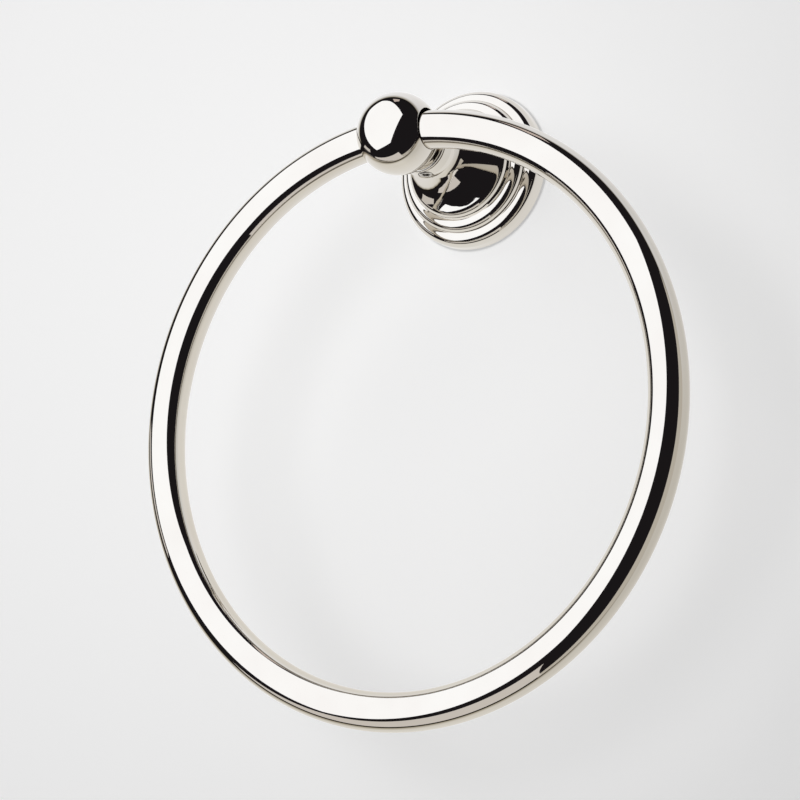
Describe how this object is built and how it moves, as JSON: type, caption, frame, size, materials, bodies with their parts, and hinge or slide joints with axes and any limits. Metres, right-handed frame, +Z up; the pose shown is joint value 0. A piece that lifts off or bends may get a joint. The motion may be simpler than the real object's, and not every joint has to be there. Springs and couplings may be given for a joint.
{
  "type": "towel ring",
  "caption": "Wall-mounted towel ring: a stepped round rosette and waisted post carry a cross-bored ball through which a closed round-bar ring hangs and swings.",
  "frame": {"origin": "centre of the rosette's back face, on the wall plane", "axes": "+Z up, +X to the right seen from the room, +Y into the wall, so the post stands out along -Y"},
  "size_m": [0.1524, 0.0484, 0.1686],
  "materials": {
    "polished_nickel": "polished nickel plate on brass",
    "stainless_steel": "plain turned stainless steel",
    "zinc_plated_steel": "bright zinc plate on steel"
  },
  "bodies": {
    "holder": {"post": "polished_nickel", "ball": "polished_nickel", "grub_screw": "stainless_steel", "stud": "zinc_plated_steel", "mounting_plate": "zinc_plated_steel"},
    "ring": {"ring": "polished_nickel"}
  },
  "joints": [
    {"name": "ring_swing", "type": "hinge", "parent": "holder", "child": "ring", "pos_m": [0, -0.038, -0.00025], "axis": [1, 0, 0], "range_deg": [-166, 13]}
  ]
}
